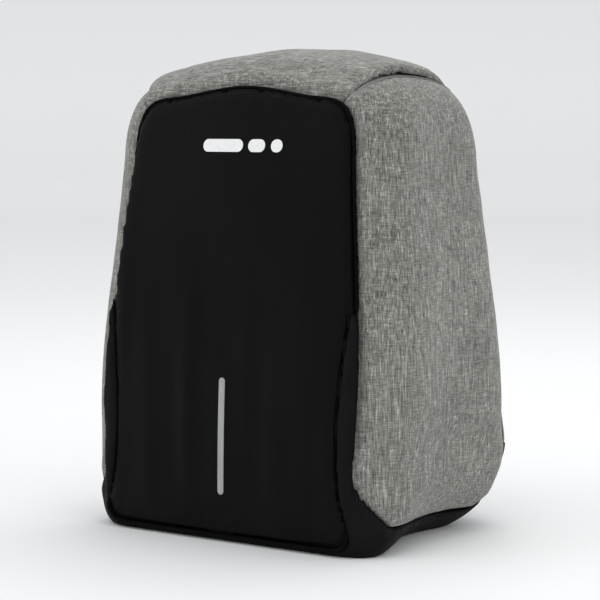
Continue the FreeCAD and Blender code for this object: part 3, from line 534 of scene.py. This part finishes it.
# ---- Stiffening boards, inner lining and pockets: thin black sheet plastic covered with the grey
# lining cloth. They are seen only with the rear panel down.
board_sheet, board_tree, board_shader = finish("board_sheet", (0.05, 0.05, 0.05), 0.5)
shade(board_tree, board_shader, grain(board_tree, 200, 3.0), ((0.3, 0.04), (0.7, (0.065, 0.065, 0.066))))
raise_by(board_tree, board_shader, grain(board_tree, 1200, 1.0), 0.00008)
for node in ("front_board", "base_board"):
    paint(node, board_sheet)


def hemmed(node, name, edge, material, body, grid=None):
    """A sewn piece with rounded edges, made from the node that it stands for."""
    piece = own_mesh(node, name)
    if grid:
        even_cloth(piece, grid, 2)
    else:
        shape = bmesh.new()
        shape.from_mesh(piece.data)
        bmesh.ops.dissolve_limit(shape, angle_limit=radians(2), verts=shape.verts, edges=shape.edges)
        sharp = [e for e in shape.edges if len(e.link_faces) == 2 and e.calc_face_angle(0) > radians(35)]
        bmesh.ops.bevel(
            shape, geom=sharp, offset=edge, segments=2, affect="EDGES", profile=0.5, material=-1,
            clamp_overlap=True)
        bmesh.ops.triangulate(shape, faces=[f for f in shape.faces if len(f.verts) > 4])
        shape.to_mesh(piece.data)
        shape.free()
    piece.data.materials.append(material)
    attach(piece, body)
    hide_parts(node)
    return piece


hemmed("front_lining", "front_lining_cloth", 0.0008, lining_cloth, "shell")
hemmed("organizer_pocket", "organizer_pocket_cloth", 0.0006, lining_cloth, "shell")
hemmed("battery_pocket", "battery_pocket_cloth", 0.0006, lining_cloth, "shell")
hemmed("rear_board", "rear_lining_cloth", 0.0006, lining_cloth, "rear_panel")
hemmed("laptop_sleeve", "laptop_sleeve_cloth", 0.0009, lining_cloth, "rear_panel")

# ---- Main zip: woven black tape sewn to the gusset and to the rear panel, each half with a moulded
# coil whose turns lock into the other's, from one end stop up over the top and down to the other.
LEAN = radians(5.2)
PANEL_FOOT = 0.0923
TOOTH_PITCH, TOOTH_SIZE = 0.00155, (0.00155, 0.00098, 0.00062)
TRACK_OUT = 0.0013
TRACK_STEPS = 1400

tape_cloth, tape_tree, tape_shader = finish(
    "tape_cloth", (0.010, 0.010, 0.010), 0.75, Specular_IOR_Level=0.15)
tape_ribs = [(ribs(tape_tree, axis, 0.0008), weight) for axis, weight in (("Y", 0.6), ("Z", 0.3), ("X", 0.3))]
raise_by(tape_tree, tape_shader, sum_of(tape_tree, tape_ribs), 0.00012)
shade(tape_tree, tape_shader, grain(tape_tree, 500), ((0.3, 0.009), (0.7, 0.016)))
coil_nylon, coil_tree, coil_shader = finish("coil_nylon", (0.012, 0.012, 0.012), 0.42, Specular_IOR_Level=0.3)
raise_by(coil_tree, coil_shader, grain(coil_tree, 900), 0.00004)
shade(coil_tree, coil_shader, grain(coil_tree, 200), ((0.3, 0.011), (0.7, 0.020)))
for half, body in (("gusset", "shell"), ("panel", "rear_panel")):
    paint("zip_tape_" + half, tape_cloth)
    low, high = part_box("zip_coil_" + half)
    coil = bmesh.new()
    coil.from_mesh(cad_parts["zip_coil_" + half].data)
    track = BVHTree.FromBMesh(coil)
    coil.free()
    middle = Vector((0, 0.5 * (low[1] + high[1]), 0.245))
    up, rear = Vector((0, -sin(LEAN), cos(LEAN))), Vector((0, cos(LEAN), sin(LEAN)))
    route = []
    for step in range(TRACK_STEPS):
        angle = 2 * pi * step / TRACK_STEPS
        way = Vector((1, 0, 0)) * sin(angle) + up * -cos(angle)
        hit = track.ray_cast(middle, way)[0]
        if hit is not None:
            route.append(hit + way * TRACK_OUT)
    teeth = bmesh.new()
    last = None
    for place in route:
        if last is not None and (place - last).length < TOOTH_PITCH:
            continue
        if last is not None and (place - last).length < 0.02:
            along = (place - last).normalized()
            outward = rear.cross(along).normalized()
            turn = Matrix((outward, rear, along)).transposed().to_4x4()
            tooth = bmesh.ops.create_uvsphere(teeth, u_segments=6, v_segments=4, radius=1.0)["verts"]
            bmesh.ops.scale(teeth, verts=tooth, vec=TOOTH_SIZE)
            bmesh.ops.transform(teeth, verts=tooth, matrix=Matrix.Translation(place) @ turn)
        last = place
    row = set_out("zip_teeth_" + half, teeth)
    smooth(row.data)
    row.data.materials.append(coil_nylon)
    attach(row, body)
    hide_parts("zip_coil_" + half)

# Sliders, pulls and end stops: die-cast zinc, tumbled smooth and dipped in black enamel, which has
# worn on the edges.
enamel, enamel_tree, enamel_shader = finish(
    "enamel", (0.022, 0.022, 0.024), 0.34, Metallic=0.6, Coat_Weight=0.25, Coat_Roughness=0.2)
edge_wear = enamel_tree.nodes.new("ShaderNodeNewGeometry").outputs["Pointiness"]
worn = sum_of(enamel_tree, ((edge_wear, 1.4), (grain(enamel_tree, 500), 0.3)), -0.3)
shade(enamel_tree, enamel_shader, worn, ((0.50, (0.020, 0.020, 0.022)), (0.66, (0.11, 0.11, 0.115))))
raise_by(enamel_tree, enamel_shader, grain(enamel_tree, 700), 0.00004)
for node in ("zip_slider_upper", "zip_slider_lower", "zip_pull_upper", "zip_pull_lower", "zip_end_stops"):
    paint(node, enamel)

# ---- Rear panel: base cloth over foam and a board, hinged by its own cloth along the foot. The cloth
# below the ends of the zip is sewn to a roll of piping that the panel turns on.
panel_cloth = hemmed("rear_panel", "rear_panel_cloth", 0.001, base_cloth, "rear_panel", 0.0023)
panel_wall = seam_tree("rear_panel")
EDGE_REACH, EDGE_DRAWN = 0.016, 0.0085
EDGE_FROM, EDGE_DEPTH, PANEL_FACE = 0.013, 0.0055, 0.0165
for vertex in panel_cloth.data.vertices:
    co = vertex.co
    behind = (co.y - PANEL_FOOT) * cos(LEAN) + co.z * sin(LEAN)
    hand = 1 if co.x > 0 else -1
    beside = Vector((hand * 0.3, PANEL_FOOT + PANEL_FACE - co.z * sin(LEAN), co.z))
    edge = panel_wall.ray_cast(beside, Vector((-hand, 0, 0)))[0]
    if edge is not None and behind > EDGE_FROM:
        near = max(0.0, 1 - (abs(edge.x) - abs(co.x)) / EDGE_REACH)
        co.x -= hand * EDGE_DRAWN * near * min(1.0, (behind - EDGE_FROM) / EDGE_DEPTH)
hemmed("hinge_strip", "hinge_strip_cloth", 0.0004, base_cloth, "shell")


def leaning(x, y, z):
    """A point in the leaning rear plane, in the bag's own frame."""
    return Vector((x, PANEL_FOOT + y * cos(LEAN) - z * sin(LEAN), y * sin(LEAN) + z * cos(LEAN)))


ROLL, ROLL_Y, ROLL_Z = 0.0036, 0.017, 0.036
FOOT_HALF_WIDTH, FOOT_RISE, FOOT_LAP = 0.0915, 0.011, 0.0002
foot_cloth = bmesh.new()
bmesh.ops.create_grid(foot_cloth, x_segments=40, y_segments=10, size=1.0)
for vertex in foot_cloth.verts:
    turn = radians(-100 + 50 * (vertex.co.y + 1))
    beyond = max(0.0, vertex.co.y - 0.2)
    y = ROLL_Y + ROLL * cos(turn) + (FOOT_LAP if vertex.co.y >= 0.2 else 0.0)
    z = ROLL_Z + ROLL * sin(turn) + FOOT_RISE * beyond
    vertex.co = leaning(FOOT_HALF_WIDTH * vertex.co.x, y, z)
foot_cloth.normal_update()
foot_strip = set_out("panel_foot_cloth", foot_cloth)
thick = foot_strip.modifiers.new("thick", "SOLIDIFY")
thick.thickness = 0.0007
thick.offset = 1.0
bake(foot_strip)
foot_strip.data.materials.append(base_cloth)
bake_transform(foot_strip)

# ---- Back pads and lumbar pad: blocks of foam under open spacer mesh, sewn down round the edge and
# along channels that let air through.
PAD_CHANNELS = {
    "back_pad_left": (0.254, 0.275, 0.296), "back_pad_right": (0.254, 0.275, 0.296),
    "lumbar_pad": (0.118, 0.131, 0.144)}
CLOTH_FRAMES = 20

pad_mesh, pad_tree, pad_shader = finish(
    "pad_mesh", (0.014, 0.014, 0.015), 0.8, Sheen_Weight=0.04, Sheen_Roughness=0.4, Specular_IOR_Level=0.2)
holes = pad_tree.nodes.new("ShaderNodeTexVoronoi")
holes.inputs["Scale"].default_value = 420.0
holes.inputs["Randomness"].default_value = 0.25
pad_place = pad_tree.nodes.new("ShaderNodeTexCoord")
pad_tree.links.new(pad_place.outputs["Object"], holes.inputs["Vector"])
shade(pad_tree, pad_shader, holes.outputs["Distance"], ((0.15, 0.004), (0.45, (0.020, 0.020, 0.022))))
raise_by(pad_tree, pad_shader, holes.outputs["Distance"], 0.0006)


def stuffed(piece, grid, pressure, cap):
    """Foam under cloth: the piece swells between its edges, no point by more than the cap."""
    even_cloth(piece, grid, 1)
    start = [v.co.copy() for v in piece.data.vertices]
    cloth = piece.modifiers.new("cloth", "CLOTH")
    cloth.settings.quality = 5
    cloth.settings.mass = 0.3
    cloth.settings.use_pressure = True
    cloth.settings.uniform_pressure_force = pressure
    cloth.settings.effector_weights.gravity = 0.0
    cloth.settings.tension_stiffness = 30
    cloth.settings.compression_stiffness = 30
    cloth.settings.bending_stiffness = 0.5
    cloth.point_cache.frame_start = 1
    cloth.point_cache.frame_end = CLOTH_FRAMES
    for step in range(1, CLOTH_FRAMES + 1):
        bpy.context.scene.frame_set(step)
    bake(piece)
    bpy.context.scene.frame_set(1)
    for vertex, rest in zip(piece.data.vertices, start):
        move = vertex.co - rest
        if move.length > cap:
            vertex.co = rest + move.normalized() * cap
    finer = piece.modifiers.new("finer", "SUBSURF")
    finer.levels = finer.render_levels = 1
    bake(piece)


def channels(piece, lines, depth, width):
    """Presses sewn channels into the rear face along level lines at those heights."""
    for vertex in piece.data.vertices:
        if vertex.normal.y > 0.4:
            for z in lines:
                vertex.co.y -= depth * exp(-(((vertex.co.z - z) / width) ** 2))


for node, lines in PAD_CHANNELS.items():
    pad = own_mesh(node, node + "_mesh")
    stuffed(pad, 0.0042, 2.0, 0.0022)
    channels(pad, lines, 0.0022, 0.0022)
    pad.data.materials.append(pad_mesh)
    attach(pad, "rear_panel")
    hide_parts(node)

# ---- Shoulder straps: shaped foam between spacer mesh, bound along both edges, with a webbing tape
# sewn down the middle that ends in the loop for the ladder lock.
webbing, webbing_tree, webbing_shader = finish(
    "webbing", (0.010, 0.010, 0.011), 0.62, Sheen_Weight=0.04, Sheen_Roughness=0.4, Specular_IOR_Level=0.25)
webbing_ribs = [(ribs(webbing_tree, "Z", 0.0016, turn=(0, radians(slant), 0)), 0.5) for slant in (30, -30)]
webbing_weave = sum_of(webbing_tree, (*webbing_ribs, (grain(webbing_tree, 900), 0.4)))
raise_by(webbing_tree, webbing_shader, webbing_weave, 0.0003)
shade(webbing_tree, webbing_shader, grain(webbing_tree, 350), (
    (0.3, (0.010, 0.010, 0.011)), (0.7, (0.021, 0.021, 0.022))))
STRAP_BINDING, STRAP_TAPE_HALF, STRAP_TAPE_THICK = 0.0018, 0.0125, 0.0016
STRAP_LINE = (
    # x, y and z in the leaning rear plane, half width, half thickness
    (0.044, 0.0272, 0.335, 0.025, 0.0030),
    (0.048, 0.0400, 0.311, 0.028, 0.0050),
    (0.056, 0.0490, 0.268, 0.029, 0.0060),
    (0.062, 0.0510, 0.215, 0.026, 0.0060),
    (0.066, 0.0480, 0.172, 0.021, 0.0055),
    (0.068, 0.0450, 0.1505, 0.017, 0.0045),
)


def smooth_line(points, steps):
    """Points along a smooth curve through a few of them."""
    line = []
    for n in range(len(points) - 1):
        before, after = points[max(n - 1, 0)], points[min(n + 2, len(points) - 1)]
        for k in range(steps):
            t = k / steps
            line.append([
                (2 * b + (c - a) * t + (2 * a - 5 * b + 4 * c - d) * t * t
                 + (3 * b - a - 3 * c + d) * t**3) / 2
                for a, b, c, d in zip(before, points[n], points[n + 1], after)])
    return line + [list(points[-1])]


def rod_along(name, line, radius, material, body):
    """A round cord or binding swept along points."""
    curve = bpy.data.curves.new(name, "CURVE")
    curve.dimensions = "3D"
    curve.bevel_depth = radius
    curve.bevel_resolution = 3
    curve.use_fill_caps = True
    run = curve.splines.new("POLY")
    run.points.add(len(line) - 1)
    for point, place in zip(run.points, line):
        point.co = (*place, 1)
    holder = bpy.data.objects.new(name, curve)
    bpy.context.collection.objects.link(holder)
    mesh = bpy.data.meshes.new_from_object(holder.evaluated_get(bpy.context.evaluated_depsgraph_get()))
    bpy.data.objects.remove(holder)
    smooth(mesh)
    mesh.materials.append(material)
    piece = bpy.data.objects.new(name, mesh)
    bpy.context.collection.objects.link(piece)
    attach(piece, body)
    return piece


def tape_along(name, line, half_width, thickness, material, body):
    """A flat tape swept along points, its width level."""
    tape = bmesh.new()
    offsets = [Vector((1, 0, 0)) * half_width * part for part in (-1, -0.5, 0, 0.5, 1)]
    rows = [[tape.verts.new(place + offset) for offset in offsets] for place in line]
    for a, b in zip(rows[:-1], rows[1:]):
        for k in range(4):
            tape.faces.new((a[k], a[k + 1], b[k + 1], b[k]))
    tape.normal_update()
    piece = set_out(name, tape)
    wall = piece.modifiers.new("wall", "SOLIDIFY")
    wall.thickness = thickness
    wall.offset = 0.0
    edge = piece.modifiers.new("edge", "BEVEL")
    edge.width = thickness * 0.3
    edge.segments = 2
    bake(piece)
    piece.data.materials.append(material)
    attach(piece, body)
    return piece


thread, thread_tree, thread_shader = finish("thread", (0.045, 0.045, 0.048), 0.6)
raise_by(thread_tree, thread_shader, ribs(thread_tree, "Z", 0.0005, turn=(0, radians(40), 0)), 0.00005)
shade(thread_tree, thread_shader, grain(thread_tree, 600), (
    (0.3, (0.035, 0.035, 0.038)), (0.7, (0.06, 0.06, 0.064))))


STITCH_PITCH = 0.0034
STITCH_SIZE = (0.00032, 0.00028, STITCH_PITCH * 0.36)
STITCH_LIFT = Vector((0, 0.0003, 0))


def stitches(name, line, body):
    """A row of lockstitches along points, a little raised."""
    rows = bmesh.new()
    carried = STITCH_PITCH
    for a, b in zip(line[:-1], line[1:]):
        step = Vector(b) - Vector(a)
        while carried <= step.length:
            place = Vector(a) + step.normalized() * carried + STITCH_LIFT
            stitch = bmesh.ops.create_uvsphere(rows, u_segments=6, v_segments=4, radius=1.0)["verts"]
            bmesh.ops.scale(rows, verts=stitch, vec=STITCH_SIZE)
            turn = step.to_track_quat("Z", "Y").to_matrix().to_4x4()
            bmesh.ops.transform(rows, verts=stitch, matrix=Matrix.Translation(place) @ turn)
            carried += STITCH_PITCH
        carried -= step.length
    piece = set_out(name, rows)
    smooth(piece.data)
    piece.data.materials.append(thread)
    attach(piece, body)
    return piece


for side, hand in (("left", -1), ("right", 1)):
    strap = own_mesh("shoulder_pad_" + side, "shoulder_strap_" + side)
    stuffed(strap, 0.0040, 1.5, 0.0015)
    strap.data.materials.append(pad_mesh)
    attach(strap, "rear_panel")
    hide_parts("shoulder_pad_" + side)
    stations = smooth_line(STRAP_LINE, 10)
    for edge_name, way in (("inner", -1), ("outer", 1)):
        line = [leaning(hand * (x + way * (w - 0.0006)), y, z) for x, y, z, w, t in stations]
        binding = f"strap_binding_{edge_name}_{side}"
        rod_along(binding, line, STRAP_BINDING, piping_cloth, "rear_panel")
    middle_line = [leaning(hand * x, y + t + 0.0012, z) for x, y, z, w, t in stations]
    tape_along(
        "strap_tape_" + side, middle_line, STRAP_TAPE_HALF, STRAP_TAPE_THICK,
        webbing, "rear_panel")
    for edge_name, way in (("inner", -1), ("outer", 1)):
        row = [leaning(hand * x + way * 0.0108, y + t + 0.0020, z) for x, y, z, w, t in stations]
        stitches(f"strap_stitches_{edge_name}_{side}", row, "rear_panel")

# Loops, locks, tails and anchors: nylon webbing doubled round a moulded ladder lock and sewn into a
# triangular wing of base cloth at the panel's lower corner.
acetal, acetal_tree, acetal_shader = finish("acetal", (0.010, 0.010, 0.010), 0.4, Specular_IOR_Level=0.35)
raise_by(acetal_tree, acetal_shader, grain(acetal_tree, 1300, 1.0), 0.00006)
shade(acetal_tree, acetal_shader, grain(acetal_tree, 120), ((0.3, 0.010), (0.7, 0.017)))
WING_STITCHES = ((0.084, 0.092), (0.108, 0.092), (0.108, 0.064), (0.093, 0.058), (0.084, 0.092))
for side, hand in (("left", -1), ("right", 1)):
    paint("ladder_lock_" + side, acetal)
    hemmed("lock_loop_" + side, "lock_loop_tape_" + side, 0.0008, webbing, "rear_panel")
    hemmed("strap_webbing_" + side, "strap_webbing_tape_" + side, 0.0004, webbing, "rear_panel")
    hemmed("strap_tail_" + side, "strap_tail_tape_" + side, 0.0004, webbing, "ladder_lock_" + side)
    hemmed("anchor_wing_" + side, "anchor_wing_cloth_" + side, 0.0010, base_cloth, "rear_panel")
    box_line = [leaning(hand * x, 0.0236, z) for x, z in WING_STITCHES]
    stitches("wing_stitches_" + side, box_line, "rear_panel")
    turned_end = [leaning(hand * x, 0.0512, 0.0655) for x in (0.058, 0.078)]
    stitches("tail_stitches_" + side, turned_end, "ladder_lock_" + side)

# ---- Yoke, luggage strap and handle: the yoke is a doubled band of base cloth over the straps' upper
# ends; the luggage strap is a wide band sewn down at both ends; the handle is webbing on two tabs,
# its middle wrapped in padded cloth.
hemmed("strap_yoke", "strap_yoke_cloth", 0.0012, base_cloth, "rear_panel")
for n, z in enumerate((0.3195, 0.3405)):
    yoke_row = [leaning(x, 0.0244, z) for x in (-0.075, 0.075)]
    stitches(f"yoke_stitches_{n}", yoke_row, "rear_panel")
hemmed("luggage_strap", "luggage_strap_band", 0.0005, webbing, "rear_panel")
for side, hand in (("left", -1), ("right", 1)):
    for n, x in enumerate((0.092, 0.0985)):
        luggage_row = [leaning(hand * x, 0.0222, z) for z in (0.171, 0.221)]
        stitches(f"luggage_stitches_{n}_{side}", luggage_row, "rear_panel")
hemmed("handle_anchors", "handle_anchor_tabs", 0.0004, base_cloth, "rear_panel")
hemmed("handle_webbing", "handle_webbing_arch", 0.0005, webbing, "carry_handle")
grip = own_mesh("handle_grip", "handle_grip_pad")
stuffed(grip, 0.0016, 0.6, 0.0006)
grip.data.materials.append(base_cloth)
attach(grip, "carry_handle")
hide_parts("handle_grip")
hemmed("sleeve_tab", "sleeve_tab_tape", 0.0005, webbing, "sleeve_tab")

# ---- Charging port: a moulded rubber bezel through the left side panel, a plated steel socket in it
# and a rubber flap on a moulded hinge.
rubber, rubber_tree, rubber_shader = finish("rubber", (0.012, 0.012, 0.012), 0.6, Specular_IOR_Level=0.25)
raise_by(rubber_tree, rubber_shader, grain(rubber_tree, 1000, 1.0), 0.00007)
shade(rubber_tree, rubber_shader, grain(rubber_tree, 90), ((0.3, 0.015), (0.7, 0.024)))
for node in ("port_housing", "port_cover"):
    paint(node, rubber)
steel, steel_tree, steel_shader = finish("steel", (0.56, 0.56, 0.57), 0.3, Metallic=1.0)
raise_by(steel_tree, steel_shader, ribs(steel_tree, "Z", 0.0003), 0.00001)
shade(steel_tree, steel_shader, grain(steel_tree, (300, 300, 40)), (
    (0.3, (0.50, 0.50, 0.51)), (0.7, (0.62, 0.62, 0.63))))
paint("port_socket", steel)
